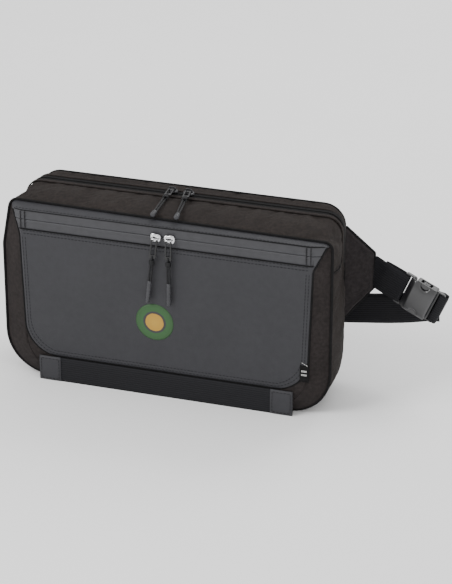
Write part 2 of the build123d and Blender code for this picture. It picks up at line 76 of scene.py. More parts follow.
# Where the visible pieces differ from the plain CAD solids, in millimetres and one slope
FRONT_DROP = 4.0  # the shell's front edge is this much lower at its right end
RIGHT_INSET = 4.0  # and its front corners are drawn in by these
LEFT_INSET = 8.0
PANEL_TAPER = 4.0  # the pocket's front narrows by this on each side towards its foot
RIGHT_FLARE = 13.0  # and its top corners flare out by these
LEFT_FLARE = 8.0
LIE_BACK = 0.36  # slope at which the flared corners lie back along the gusset
CORD_RADIUS = 0.92
SLIDER_HALF_LENGTH = 5.8
SLIDER_HALF_WIDTH = 4.7

SIDES = ((-1, "left"), (1, "right"))
SETTLE_FRAMES = 20  # how long the cloth simulations run
COLUMNS = 121  # points across the pocket's front in each of its layers
LAYER_THICK = 1.1  # thickness of those layers, in millimetres


def clamp(value):
    """The value, kept between 0 and 1."""
    return min(max(value, 0.0), 1.0)


# --- Camera
target = Vector((0.048, 0.0, 0.0986))
azimuth = radians(18)
elevation = radians(25)
toward = Vector((
    sin(azimuth) * cos(elevation),
    -cos(azimuth) * cos(elevation),
    sin(elevation),
))
camera_data = bpy.data.cameras.new("camera")
camera_data.lens = 142.4
camera_data.sensor_width = 36
camera_data.clip_end = 20
camera = bpy.data.objects.new("camera", camera_data)
camera.location = target + toward * 2.2
camera.rotation_euler = (-toward).to_track_quat("-Z", "Y").to_euler()
scene.collection.objects.link(camera)
scene.camera = camera


# --- Materials
class Nodes:
    """A Principled material and short ways to add nodes to it."""

    def __init__(self, name, roughness=0.8, metallic=0.0, **sockets):
        self.material = bpy.data.materials.new(name)
        self.material.use_nodes = True
        self.tree = self.material.node_tree
        self.shader = self.tree.nodes["Principled BSDF"]
        self.shader.inputs["Roughness"].default_value = roughness
        self.shader.inputs["Metallic"].default_value = metallic
        for socket, value in sockets.items():
            self.shader.inputs[socket.replace("_", " ")].default_value = value

    def add(self, kind, **values):
        node = self.tree.nodes.new(kind)
        for name, value in values.items():
            setattr(node, name, value)
        return node

    def link(self, source, target):
        self.tree.links.new(source, target)

    def put(self, socket, value):
        if hasattr(value, "default_value"):
            self.link(value, socket)
        else:
            socket.default_value = value

    def math(self, operation, a, b=0.0):
        node = self.add("ShaderNodeMath", operation=operation)
        self.put(node.inputs[0], a)
        self.put(node.inputs[1], b)
        return node.outputs[0]

    def mix(self, *terms):
        """The sum of some values, each times its share."""
        total = None
        for value, share in terms:
            part = self.math("MULTIPLY", value, share)
            total = part if total is None else self.math("ADD", total, part)
        return total

    def vector(self, operation, a, b=None):
        node = self.add("ShaderNodeVectorMath", operation=operation)
        self.put(node.inputs[0], a)
        if b is not None:
            self.put(node.inputs[1], b)
        return node.outputs[0]

    def split(self, vector):
        node = self.add("ShaderNodeSeparateXYZ")
        self.link(vector, node.inputs[0])
        return node.outputs

    def place(self):
        return self.add("ShaderNodeTexCoord").outputs["Object"]

    def noise(self, scale, detail=3.0, stretch=None):
        node = self.add("ShaderNodeTexNoise")
        node.inputs["Scale"].default_value = scale
        node.inputs["Detail"].default_value = detail
        place = self.place()
        if stretch:
            place = self.vector("MULTIPLY", place, stretch)
        self.link(place, node.inputs["Vector"])
        return node.outputs["Fac"]

    def ramp(self, value, stops):
        node = self.add("ShaderNodeValToRGB")
        elements = node.color_ramp.elements
        for number, (position, colour) in enumerate(stops):
            element = elements[number] if number < 2 else elements.new(position)
            element.position = position
            element.color = (*colour, 1)
        self.link(value, node.inputs[0])
        return node.outputs[0]

    def weave(self, pitch):
        """Plain weave of the given pitch in metres on whichever way the surface faces, 0 to 1."""
        turns = self.vector("MULTIPLY", self.place(), (tau / pitch,) * 3)
        waves = self.split(self.vector("SINE", turns))
        normal = self.add("ShaderNodeNewGeometry").outputs["Normal"]
        facing = self.split(self.vector("ABSOLUTE", normal))
        total = 0.5
        for a, b, c in ((0, 2, 1), (1, 2, 0), (0, 1, 2)):
            pair = self.math("MULTIPLY", waves[a], waves[b])
            share = self.math("MULTIPLY", pair, facing[c])
            total = self.math("ADD", self.math("MULTIPLY", share, 0.5), total)
        return total

    def ribs(self, across, along):
        """Woven rows of a strap from its UVs, which are in metres: 0 to 1."""
        uv = self.split(self.add("ShaderNodeTexCoord").outputs["UV"])
        rows = self.math("SINE", self.math("MULTIPLY", uv[1], tau / across))
        picks = self.math("SINE", self.math("MULTIPLY", uv[0], tau / along))
        both = self.math("ADD", self.math("MULTIPLY", rows, picks), rows)
        return self.math("ADD", self.math("MULTIPLY", both, 0.25), 0.5)

    def colour(self, output):
        self.link(output, self.shader.inputs["Base Color"])

    def rough(self, value, low, high):
        node = self.add("ShaderNodeMapRange")
        node.inputs["To Min"].default_value = low
        node.inputs["To Max"].default_value = high
        self.link(value, node.inputs["Value"])
        self.link(node.outputs[0], self.shader.inputs["Roughness"])

    def bump(self, height, depth, strength=1.0):
        node = self.add("ShaderNodeBump")
        node.inputs["Distance"].default_value = depth
        node.inputs["Strength"].default_value = strength
        self.link(height, node.inputs["Height"])
        old = self.shader.inputs["Normal"]
        if old.links:
            self.link(old.links[0].from_socket, node.inputs["Normal"])
        self.link(node.outputs[0], old)


def cloth_material(name, dark, light, pitch=0.0011, depth=0.00022, mottle=330.0,
                   roughness=(0.75, 0.95), gloss=0.15):
    """Woven cloth with this pitch and depth of weave in metres, mottled from dark to light."""
    m = Nodes(name, Specular_IOR_Level=gloss)
    weave = m.weave(pitch)
    fleck = m.noise(mottle, 5.0)
    cloud = m.noise(22.0, 2.0)
    mixed = m.mix((fleck, 0.6), (cloud, 0.25), (weave, 0.15))
    m.colour(m.ramp(mixed, ((0.34, dark), (0.66, light))))
    m.rough(fleck, *roughness)
    m.bump(weave, depth)
    m.bump(cloud, 0.0006, 0.5)
    return m.material


shell_fabric = cloth_material(
    "shell fabric", (0.0125, 0.0100, 0.0092), (0.0285, 0.0230, 0.0210))
gusset_fabric = cloth_material(
    "gusset fabric", (0.0135, 0.0110, 0.0105), (0.0300, 0.0250, 0.0245))
coated_fabric = cloth_material(
    "coated fabric", (0.0170, 0.0170, 0.0205), (0.0240, 0.0240, 0.0282), 0.0007, 0.00009,
    mottle=180.0, roughness=(0.42, 0.58), gloss=0.4)
# The zip's coated tape: a glossier copy of the coated fabric whose lighter colour is painted
# highlight along the pocket's top
lit_zip_fabric = cloth_material(
    "zip fabric with painted highlight", (0.0275, 0.0275, 0.0312), (0.0375, 0.0375, 0.0425), 0.0007, 0.00006,
    mottle=180.0, roughness=(0.38, 0.5), gloss=0.45)
dark_tape = cloth_material(
    "dark tape", (0.003, 0.003, 0.003), (0.010, 0.0095, 0.010), 0.0012, 0.00018)
spacer_mesh = cloth_material(
    "spacer mesh", (0.006, 0.006, 0.007), (0.035, 0.035, 0.038), 0.0032, 0.0008, mottle=500.0)
lining = cloth_material("lining", (0.06, 0.06, 0.063), (0.12, 0.12, 0.125), 0.0009, 0.0001)
foam = cloth_material("foam", (0.17, 0.17, 0.18), (0.27, 0.27, 0.28), 0.002, 0.0001)
thread = cloth_material(
    "thread", (0.010, 0.010, 0.011), (0.030, 0.029, 0.031), 0.0005, 0.00008)
pale_thread = cloth_material(
    "pale thread", (0.42, 0.42, 0.41), (0.62, 0.62, 0.60), 0.0005, 0.00008)
cord_braid = cloth_material(
    "cord braid", (0.003, 0.003, 0.0035), (0.012, 0.012, 0.014), 0.0008, 0.00025,
    roughness=(0.45, 0.65), gloss=0.35)
wing_fabric = cloth_material(
    "wing fabric", (0.0150, 0.0128, 0.0130), (0.0340, 0.0290, 0.0300))
border_thread = cloth_material(
    "border thread", (0.014, 0.014, 0.016), (0.024, 0.024, 0.027), 0.0005, 0.00008)


def webbing_material():
    m = Nodes("webbing", Specular_IOR_Level=0.2)
    ribs = m.ribs(0.0022, 0.0014)
    fleck = m.noise(700.0, 3.0)
    mixed = m.mix((ribs, 0.6), (fleck, 0.4))
    m.colour(m.ramp(mixed, ((0.25, (0.003, 0.003, 0.0038)), (0.75, (0.014, 0.014, 0.0170)))))
    m.rough(fleck, 0.55, 0.8)
    m.bump(ribs, 0.0004)
    return m.material


def moulded_material(name, dark, light, roughness, **sockets):
    """Moulded plastic with a fine grain, worn a little lighter in places."""
    m = Nodes(name, **sockets)
    speck = m.noise(2600.0, 2.0)
    worn = m.noise(60.0, 4.0)
    m.colour(m.ramp(worn, ((0.35, dark), (0.7, light))))
    m.rough(worn, *roughness)
    m.bump(speck, 0.00004)
    return m.material


def metal_material(name, dark, light, roughness, metallic=1.0):
    """Metal with fine scratches."""
    m = Nodes(name, metallic=metallic)
    scratches = m.noise(900.0, 4.0, stretch=(1.0, 0.12, 0.12))
    m.colour(m.ramp(scratches, ((0.3, dark), (0.7, light))))
    m.rough(scratches, *roughness)
    m.bump(scratches, 0.00003)
    return m.material


webbing = webbing_material()
acetal = moulded_material(
    "acetal", (0.010, 0.010, 0.011), (0.020, 0.020, 0.022), (0.24, 0.36),
    Specular_IOR_Level=0.7, Coat_Weight=0.35, Coat_Roughness=0.2)
pull_black = moulded_material(
    "pull black", (0.003, 0.003, 0.0035), (0.008, 0.008, 0.009), (0.2, 0.35))
sleeve_plastic = moulded_material(
    "moulded end", (0.020, 0.020, 0.023), (0.034, 0.034, 0.039), (0.4, 0.55))
chrome = metal_material("chrome", (0.62, 0.62, 0.63), (0.80, 0.80, 0.81), (0.08, 0.22))
black_metal = metal_material(
    "black metal", (0.012, 0.012, 0.013), (0.035, 0.035, 0.038), (0.3, 0.5), 0.6)


# --- Mesh tools
def make(name, points, faces, material, uvs=None, body="bag"):
    """A smooth-shaded mesh piece from points in millimetres."""
    mesh = bpy.data.meshes.new(name)
    mesh.from_pydata([tuple(c * MM for c in p) for p in points], [], faces)
    mesh.materials.append(material)
    face_outward(mesh)
    if uvs is not None:
        layer = mesh.uv_layers.new(name="strap")
        for loop in mesh.loops:
            layer.data[loop.index].uv = uvs[loop.vertex_index]
    mesh.shade_smooth()
    piece = bpy.data.objects.new(name, mesh)
    scene.collection.objects.link(piece)
    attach(piece, body)
    return piece


def face_outward(mesh):
    """Turns the faces of a closed mesh outward; an open one keeps the way it was built."""
    work = bmesh.new()
    work.from_mesh(mesh)
    if all(edge.is_manifold for edge in work.edges):
        bmesh.ops.recalc_face_normals(work, faces=work.faces)
        work.to_mesh(mesh)
    work.free()


def grid_faces(rows, columns, wrap_rows=False, wrap_columns=False):
    """Quads between the points of a grid that is listed row by row."""
    faces = []
    for i in range(rows if wrap_rows else rows - 1):
        for j in range(columns if wrap_columns else columns - 1):
            a, b = i * columns, ((i + 1) % rows) * columns
            k = (j + 1) % columns
            faces.append((a + j, a + k, b + k, b + j))
    return faces


def circle(count):
    """The angles of so many points round a circle."""
    return [tau * k / count for k in range(count)]


def ring_faces(total, ring):
    """The sides and the two ends of a mesh that is built from rings of so many points."""
    ends = [tuple(range(ring)), tuple(reversed(range(total - ring, total)))]
    return grid_faces(total // ring, ring, wrap_columns=True) + ends


def thicken(piece, amount):
    modifier = piece.modifiers.new("thickness", "SOLIDIFY")
    modifier.thickness = amount * MM
    modifier.offset = -1
    return piece


def refine(piece, levels=1):
    modifier = piece.modifiers.new("refine", "SUBSURF")
    modifier.levels = levels
    modifier.render_levels = levels
    return piece


def frames_along(points, closed, up=None):
    """Tangent, side and up vectors along a path."""
    count = len(points)
    out = []
    previous = up
    for i, point in enumerate(points):
        after = points[(i + 1) % count] if closed or i < count - 1 else point
        before = points[i - 1] if closed or i > 0 else point
        tangent = (after - before).normalized()
        if previous is None:
            previous = UP if abs(tangent.z) < 0.9 else BACKWARD
        upward = (previous - tangent * previous.dot(tangent)).normalized()
        out.append((tangent, tangent.cross(upward), upward))
        previous = upward
    return out


def tube(name, points, radius, material, closed=False, sides=10, body="bag", lumps=0.0):
    """A round tube along a path. lumps varies its radius, as a braid's strands do."""
    points = [Vector(p) for p in points]
    rings = []
    for i, (point, (_, side, upward)) in enumerate(zip(points, frames_along(points, closed))):
        for angle in circle(sides):
            r = radius * (1 + lumps * sin(2 * angle + i * 1.3))
            rings.append(point + (side * cos(angle) + upward * sin(angle)) * r)
    if closed:
        faces = grid_faces(len(points), sides, wrap_rows=True, wrap_columns=True)
    else:
        faces = ring_faces(len(rings), sides)
    return make(name, rings, faces, material, body=body)


def strap(name, centres, across, width, thick, material=None):
    """Webbing along centres, with rounded edges and UVs in metres. Its width lies along across."""
    profile = []
    for k in range(9):
        profile.append((-1 + k / 4, 1.0))
    for k in range(9):
        profile.append((1 - k / 4, -1.0))
    centres = [Vector(p) for p in centres]
    if isinstance(across, Vector):
        across = [across] * len(centres)
    points = []
    uvs = []
    run = 0.0
    for i, centre in enumerate(centres):
        after = centres[min(i + 1, len(centres) - 1)]
        before = centres[max(i - 1, 0)]
        tangent = (after - before).normalized()
        wide = (across[i] - tangent * across[i].dot(tangent)).normalized()
        normal = tangent.cross(wide)
        if i:
            run += (centre - centres[i - 1]).length
        for a, b in profile:
            edge = 0.45 if abs(a) == 1 else 1.0
            points.append(centre + wide * a * width / 2 + normal * b * edge * thick / 2)
            uvs.append((run * MM, a * width * 0.0005))
    faces = ring_faces(len(points), len(profile))
    return make(name, points, faces, material or webbing, uvs)


def spline(control, step=2.0):
    """Points along the NURBS curve that has these control points, about a step apart."""
    curve = bpy.data.curves.new("route", "CURVE")
    curve.dimensions = "3D"
    curve.resolution_u = 24
    line = curve.splines.new("NURBS")
    line.points.add(len(control) - 1)
    for point, place in zip(line.points, control):
        point.co = (*place, 1)
    line.order_u = 3
    line.use_endpoint_u = True
    holder = bpy.data.objects.new("route", curve)
    mesh = bpy.data.meshes.new_from_object(holder)
    found = [v.co.copy() for v in mesh.vertices]
    bpy.data.objects.remove(holder)
    bpy.data.curves.remove(curve)
    bpy.data.meshes.remove(mesh)
    return resample(found, step)


def resample(points, step, closed=False):
    """Evenly spaced points along a path, about a step apart."""
    points = [Vector(p) for p in points]
    if closed:
        points = points + [points[0]]
    lengths = [0.0]
    for a, b in zip(points, points[1:]):
        lengths.append(lengths[-1] + (b - a).length)
    count = max(2, round(lengths[-1] / step) + 1)
    wanted = np.linspace(0, lengths[-1], count)
    columns = [np.interp(wanted, lengths, [p[k] for p in points]) for k in range(3)]
    out = [Vector(p) for p in zip(*columns)]
    return out[:-1] if closed else out


def stitches(name, rows, material=None, length=2.4, pitch=3.5, radius=0.27):
    """Rows of separate raised stitches. Each row is a path that lies on the cloth."""
    points = []
    faces = []
    for row in rows:
        path = resample(row, pitch / 2)
        for i in range(1, len(path) - 1, 2):
            way = (path[i + 1] - path[i - 1]).normalized()
            upward = UP if abs(way.z) < 0.8 else BACKWARD
            side = way.cross(upward).normalized()
            upward = side.cross(way)
            base = len(points)
            for reach, swell in ((-0.5, 0.35), (-0.32, 1.0), (0.32, 1.0), (0.5, 0.35)):
                for angle in circle(6):
                    ring = (side * cos(angle) + upward * sin(angle)) * radius * swell
                    points.append(path[i] + way * reach * length + ring)
            for ring in range(3):
                for k in range(6):
                    a = base + ring * 6
                    n = (k + 1) % 6
                    faces.append((a + k, a + n, a + 6 + n, a + 6 + k))
            faces.append(tuple(base + k for k in reversed(range(6))))
            faces.append(tuple(base + 18 + k for k in range(6)))
    return make(name, points, faces, material or thread)


def settle(piece, pinned, pressure, shrink, cap):
    """Lets a piece's cloth fill out between its pinned points, no point moving further than cap."""
    group = piece.vertex_groups.new(name="pin")
    for index, weight in enumerate(pinned):
        if weight > 0:
            group.add([index], weight, "REPLACE")
    modifier = piece.modifiers.new("cloth", "CLOTH")
    cloth = modifier.settings
    cloth.quality = 6
    cloth.mass = 0.12
    cloth.tension_stiffness = 18
    cloth.compression_stiffness = 18
    cloth.shear_stiffness = 6
    cloth.bending_stiffness = 0.15
    cloth.use_pressure = True
    cloth.uniform_pressure_force = pressure
    cloth.shrink_min = shrink
    cloth.vertex_group_mass = "pin"
    cloth.effector_weights.gravity = 0
    modifier.point_cache.frame_start = 1
    modifier.point_cache.frame_end = SETTLE_FRAMES
    for number in range(1, SETTLE_FRAMES + 1):
        scene.frame_set(number)
    shaped = piece.evaluated_get(bpy.context.evaluated_depsgraph_get()).data
    rest = np.array([v.co for v in piece.data.vertices])
    moved = np.array([v.co for v in shaped.vertices]) - rest
    piece.modifiers.remove(modifier)
    piece.vertex_groups.clear()
    scene.frame_set(1)
    distance = np.linalg.norm(moved, axis=1, keepdims=True)
    moved *= np.minimum(1.0, cap * MM / np.maximum(distance, 1e-9))
    piece.data.vertices.foreach_set("co", (rest + moved).astype(np.float32).ravel())
    piece.data.update()


# --- Main compartment
def outline(half, low, high, low_radius, top_radius):
    """A rounded rectangle as (x, z) from the middle of its underside, always in as many points."""
    points = []

    def line(start, end, count):
        for i in range(count):
            points.append(tuple(a + (b - a) * i / count for a, b in zip(start, end)))

    def arc(x, z, radius, start):
        for i in range(12):
            angle = radians(start + 90 * i / 12)
            points.append((x + radius * cos(angle), z + radius * sin(angle)))

    line((0, low), (half - low_radius, low), 32)
    arc(half - low_radius, low + low_radius, low_radius, -90)
    line((half, low + low_radius), (half, high - top_radius), 30)
    arc(half - top_radius, high - top_radius, top_radius, 0)
    line((half - top_radius, high), (top_radius - half, high), 64)
    arc(top_radius - half, high - top_radius, top_radius, 90)
    line((-half, high - top_radius), (-half, low + low_radius), 30)
    arc(low_radius - half, low + low_radius, low_radius, 180)
    line((low_radius - half, low), (0, low), 32)
    return points


def body_ring(y, grow=0.0):
    """The shell's outline at a depth. Its front edge is lower and narrower than the CAD solid's."""
    t = (y - FRONT_SEAM_Y) / (REAR_Y - FRONT_SEAM_Y)
    half = HALF_WIDTH - 12 * t + grow
    low = 1.4 if grow else 0.2
    front = max(1 - t / 0.65, 0.0)
    ring = []
    for x, z in outline(half, low, HEIGHT + 3 * t + grow, 42 - 8 * t, 8 + 12 * t):
        z -= front * front_drop(x) * clamp((z - 60) / 115)
        if x > 0:
            x -= RIGHT_INSET * front * (x / HALF_WIDTH) ** 4
        else:
            x += LEFT_INSET * front * (x / HALF_WIDTH) ** 4 * clamp((z - 135) / 45)
        ring.append((x, y, z))
    return ring


def front_drop(x):
    """How much lower the shell's front edge is than the CAD solid's, from none at the left."""
    return FRONT_DROP * (x + HALF_WIDTH) / (2 * HALF_WIDTH)


ring_ys = np.linspace(FRONT_SEAM_Y, REAR_Y, 19)
body_points = [p for y in ring_ys for p in body_ring(y)]
ring_size = len(body_ring(0))
body_faces = [tuple(reversed(f)) for f in grid_faces(len(ring_ys), ring_size, wrap_columns=True)]
main_body = make("bag_body", body_points, body_faces, shell_fabric)
pins = []
for x, y, z in body_points:
    on_seam = y < FRONT_SEAM_Y + 1 or y > REAR_Y - 1 or z < 0.6
    under_zip = abs(y - TOP_ZIP_Y) < 10.2 and z > 118
    pins.append(1.0 if on_seam or under_zip else 0.0)
settle(main_body, pins, 3.0, -0.016, 4.5)
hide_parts("main_shell")


def close_ends(piece):
    """Caps the open ends of a ring-built piece once its cloth has settled."""
    mesh = piece.data
    count = len(mesh.vertices)
    points = [tuple(v.co * 1000) for v in mesh.vertices]
    faces = [tuple(p.vertices) for p in mesh.polygons]
    middle = HEIGHT / 2
    inner = [(x * 0.94, y, middle + (z - middle) * 0.9) for x, y, z in points]
    front = inner[:ring_size]
    rear = inner[count - ring_size:]
    for ring, edge in ((front, 0), (rear, count - ring_size)):
        base = len(points)
        points.extend(ring)
        for k in range(ring_size):
            n = (k + 1) % ring_size
            quad = (edge + k, edge + n, base + n, base + k)
            faces.append(tuple(reversed(quad)) if edge else quad)
        lid = tuple(range(base, base + ring_size))
        faces.append(tuple(reversed(lid)) if edge else lid)
    mesh.clear_geometry()
    mesh.from_pydata([tuple(c * MM for c in p) for p in points], [], faces)
    mesh.shade_smooth()


close_ends(main_body)

# Piping on the two rings of the shell, and the seam where the zip's gusset ends on each side
front_ring = resample(body_ring(FRONT_SEAM_Y - 0.6, 0.2), 3.0, True)
rear_ring = resample(body_ring(REAR_Y, -0.3), 3.0, True)
tube("front_piping", front_ring, 1.25, dark_tape, True)
tube("rear_piping", rear_ring, 1.5, dark_tape, True)
shell_surface = BVHTree.FromPolygons(
    [v.co for v in main_body.data.vertices],
    [tuple(f.vertices) for f in main_body.data.polygons],
)


def side_point(side, y, z, grow):
    """A point that stands out by grow from the cloth of the bag's side."""
    outside = Vector((side * 0.4, y * MM, z * MM))
    found = shell_surface.ray_cast(outside, Vector((-side, 0, 0)))[0]
    return Vector((found.x * 1000 + side * grow, y, z))


seam_rows = []
for side, word in SIDES:
    run = [(y, 146 - 0.06 * (y - FRONT_SEAM_Y)) for y in np.linspace(-31, 2, 20)]
    run += [(2 + 8 * sin(a), 151.9 - 8 * cos(a)) for a in np.linspace(0.1, pi / 2, 8)]
    seam = [side_point(side, y, z, 0.2) for y, z in run]
    tube(f"side_seam_{word}", seam, 0.75, dark_tape, sides=8)
    for drop in (-2.6, 2.6):
        seam_rows.append([side_point(side, y, z + drop, 0.1) for y, z in run[:20]])


# --- Front pocket
gusset_rings = []
seam_ring = body_ring(FRONT_SEAM_Y)
panel_ring = outline(PANEL_HALF, POCKET_LOW, PANEL_HIGH, LOW_RADIUS, 7)


def taper(z):
    """The pocket's front narrows on each side towards its foot."""
    return PANEL_TAPER * max(ZIP_LOW - z, 0.0) / 124


for i in range(6):
    t = i / 5
    puff = 1.4 * sin(pi * t)
    for (x0, _, z0), (x1, z1) in zip(seam_ring, panel_ring):
        x1 -= copysign(min(taper(z1), abs(x1)), x1)
        z1 -= front_drop(x1) * clamp((z1 - 100) / 78)
        x = (x0 + (x1 - x0) * t) * (1 + puff * 0.003)
        z = z0 + (z1 - z0) * t - 7.0 * t * clamp((z1 - 150) / 25)
        crease = 0.7 * noise.noise(Vector((x * 0.045, z * 0.045, t * 2))) * sin(pi * t)
        under_flare = 1.6 * sin(pi * t) * clamp((z1 - 145) / 20)
        gusset_rings.append((x, FRONT_SEAM_Y - 9 * t - puff * 0.5 + crease + under_flare, z))
gusset_faces = grid_faces(6, ring_size, wrap_columns=True)
gusset = make("pocket_gusset_cloth", gusset_rings, gusset_faces, gusset_fabric)
thicken(refine(gusset), 1.0)
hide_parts("pocket_gusset")


def half_width(z, half, low, low_radius, high=inf, top_radius=0.0):
    """Half the width, at height z, of a rectangle with rounded corners below and perhaps above."""
    inset = 0.0
    if z < low + low_radius:
        inset = low_radius - sqrt(max(low_radius ** 2 - (low + low_radius - z) ** 2, 0))
    elif z > high - top_radius:
        inset = top_radius - sqrt(max(top_radius ** 2 - (z - high + top_radius) ** 2, 0))
    return half - inset


def panel_half(z, side=1):
    """Half the coated panel's width at height z, on one side or the other."""
    return half_width(z, PANEL_HALF, PANEL_LOW, LOW_RADIUS) - taper(z) + flare(z, side)


def flare(z, side):
    """The pocket's top flares out to the shell's front corners, further at the right."""
    return (RIGHT_FLARE if side > 0 else LEFT_FLARE) * clamp((z - 150) / 28) ** 1.1


def strip_half(z, side=1):
    return PANEL_HALF + flare(z, side)


def base_half(z, side=1):
    return half_width(z, PANEL_HALF, POCKET_LOW, LOW_RADIUS) - taper(z)


def swell(x, z):
    """How far the coated panel stands out: slack cloth over a nearly empty pocket."""
    across = max(0.0, 1 - (x / PANEL_HALF) ** 2) ** 0.6
    up = sin(pi * clamp((z - 22) / 134)) ** 0.7
    waves = 1.7 * noise.noise(Vector((x * 0.011, z * 0.017, 3.1)))
    waves += 0.8 * noise.noise(Vector((x * 0.03 + z * 0.012, z * 0.045, 7.7)))
    return across * up * (1.0 + waves)


def face(x, z, out=0.0):
    """The pocket's outer surface. Past the panel's sides it lies back along the gusset."""
    lie_back = max(abs(x) - PANEL_HALF + 2, 0.0) * LIE_BACK
    return Vector((x, PANEL_FACE + lie_back - swell(x, z) - out, z))


def patch(name, low, high, half, material, lift, rows):
    """A layer of the pocket's front between two heights, standing proud by lift(x, z, edge)."""
    points = []
    for i in range(rows):
        z = low + (high - low) * (0.5 - 0.5 * cos(pi * i / (rows - 1)))
        for j in range(COLUMNS):
            share = sin(pi / 2 * (2 * j / (COLUMNS - 1) - 1))
            reach = half(z, share)
            x = reach * share
            edge = min(reach - abs(x), z - low, high - z)
            points.append(face(x, z, lift(x, z, edge)))
    piece = make(name, points, grid_faces(rows, COLUMNS), material)
    return thicken(piece, LAYER_THICK)


def rolled(lift):
    """The lift of a layer whose edges roll back into its seams."""
    return lambda x, z, edge: lift - (1 - min(edge / 2.5, 1.0)) ** 2


coated_panel = patch("coated_panel", PANEL_LOW, ZIP_LOW + 0.3, panel_half,
                     coated_fabric, rolled(0.0), rows=84)
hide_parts("front_panel")
base_strip = patch("base_strip", POCKET_LOW, 60, base_half,
                   gusset_fabric, rolled(-0.9), rows=34)
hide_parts("pocket_base_strip")


def seam_top(x):
    """Height of the shell's front seam over the pocket, down its rounded corners."""
    corner_start = 153 if x > 0 else 149
    over = min(max(abs(x) - corner_start, 0.0), 7.0)
    return 173.6 + sqrt(8 ** 2 - over ** 2) - front_drop(x)


def brow(x, t):
    """The strip above the zip, which curls back to the shell's front seam as t goes from 0 to 1."""
    top = seam_top(x)
    lift = 0.35 * noise.noise(Vector((x * 0.03, t * 2.0, 5.0)))
    reach = max(abs(x) - PANEL_HALF + 2, 0.0) * LIE_BACK * (1 - t)
    depth = PANEL_FACE - 0.2 + reach + 9.6 * t ** 1.7 + lift * (1 - t)
    return Vector((x, depth, ZIP_HIGH - 0.3 + (top - ZIP_HIGH + 0.3) * t ** 0.85))


brow_points = []
for i in range(14):
    t = i / 13
    for j in range(COLUMNS):
        share = 2 * j / (COLUMNS - 1) - 1
        brow_points.append(brow((strip_half(ZIP_HIGH, share) + 2.0 * t) * share, t))
top_faces = grid_faces(14, COLUMNS)
top_strip = make("top_strip", brow_points, top_faces, coated_fabric)
thicken(top_strip, LAYER_THICK)
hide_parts("panel_top_strip")


def tape_lift(x, z, edge):
    """Each half of the zip's coated tape is crowned over the coil behind it."""
    ridge = exp(-((abs(z - ZIP_MIDDLE) - 1.7) / 1.3) ** 2)
    return -0.55 + 0.4 * ridge - 0.5 * (1 - min(edge / 0.8, 1.0)) ** 2


zip_lower = patch("front_zip_lower", ZIP_LOW - 0.6, ZIP_MIDDLE - 0.06, strip_half,
                  lit_zip_fabric, tape_lift, rows=16)
zip_upper = patch("front_zip_upper", ZIP_MIDDLE + 0.06, ZIP_HIGH + 0.6, strip_half,
                  lit_zip_fabric, tape_lift, rows=16)
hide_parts("front_zip_tape")
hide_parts("front_zip_coil")


def across_row(z, half):
    """A row of stitches across the pocket's front."""
    return [face(x, z, 0.15) for x in np.linspace(4.0 - half(z, -1), half(z, 1) - 4.0, 90)]


def panel_border(inset):
    """Down one side of the coated panel, along its lower edge and up the other."""
    path = [(panel_half(z - inset * 0.8) - inset, z)
            for z in np.linspace(ZIP_LOW - 8, PANEL_LOW + inset, 90)]
    path += [(x, PANEL_LOW + inset) for x in np.linspace(path[-1][0] - 2, 0, 50)]
    return [face(x, z, 0.1) for x, z in path] + [face(-x, z, 0.1) for x, z in reversed(path)]


stitches("panel_stitching", [
    across_row(ZIP_LOW - 1.6, panel_half), across_row(ZIP_LOW - 4.6, panel_half),
    [brow(x, 0.10) + Vector((0, -0.25, 0)) for x in np.linspace(-148, 148, 90)],
    [brow(x, 0.30) + Vector((0, -0.25, 0)) for x in np.linspace(-149, 149, 90)],
    panel_border(2.8), panel_border(5.6),
], border_thread)
stitches("side_stitching", seam_rows)

# The two seams of the zip's strip
for word, z in (("low", ZIP_LOW - 0.1), ("high", ZIP_HIGH + 0.2)):
    reach = np.linspace(2 - strip_half(z, -1), strip_half(z, 1) - 2, 150)
    seam = [face(x, z, -0.05) for x in reach]
    tube(f"strip_seam_{word}", seam, 0.55, dark_tape, sides=6)

# Bar tacks at the zip's two ends
bars = []
for side in (-1, 1):
    for x in (138.8, 143.2):
        bars.append([face(side * x, z, 0.25) for z in np.linspace(ZIP_LOW + 1, ZIP_HIGH - 1, 12)])
tacks = stitches("zip_bar_tacks", bars, length=1.7, pitch=1.7, radius=0.45)
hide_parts("front_zip_stops")

# The coated panel's edge seam, from one top corner round to the other, as a dark tube that paints
# the shadow line along the panel's sides and between its foot and the band
low_edge = [(x, PANEL_LOW - 0.3) for x in np.linspace(0, PANEL_HALF - LOW_RADIUS - 4, 40)]
edge_path = []
for side in (-1, 1):
    rise = [(panel_half(z, side) + 0.3, z) for z in np.linspace(PANEL_LOW + 0.2, 174, 90)]
    path = [face(side * x, z, -1.3) for x, z in low_edge + rise]
    edge_path += list(reversed(path)) if side < 0 else path[1:]
tube("pocket_edge_shadow_line", resample(edge_path, 3.0), 1.1, dark_tape, sides=8)


# --- Zip sliders, pulls, cords and ends
def dress(name, material, bevel):
    """Gives a carried-over CAD node its material, and eases its edges by bevel millimetres."""
    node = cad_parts[name]
    node.data.materials.clear()
    node.data.materials.append(material)
    if bevel:
        modifier = node.modifiers.new("eased edges", "BEVEL")
        modifier.width = bevel * MM
        modifier.segments = 3
        modifier.limit_method = "ANGLE"
        modifier.angle_limit = radians(35)
        modifier.harden_normals = True
        node.data.shade_smooth()


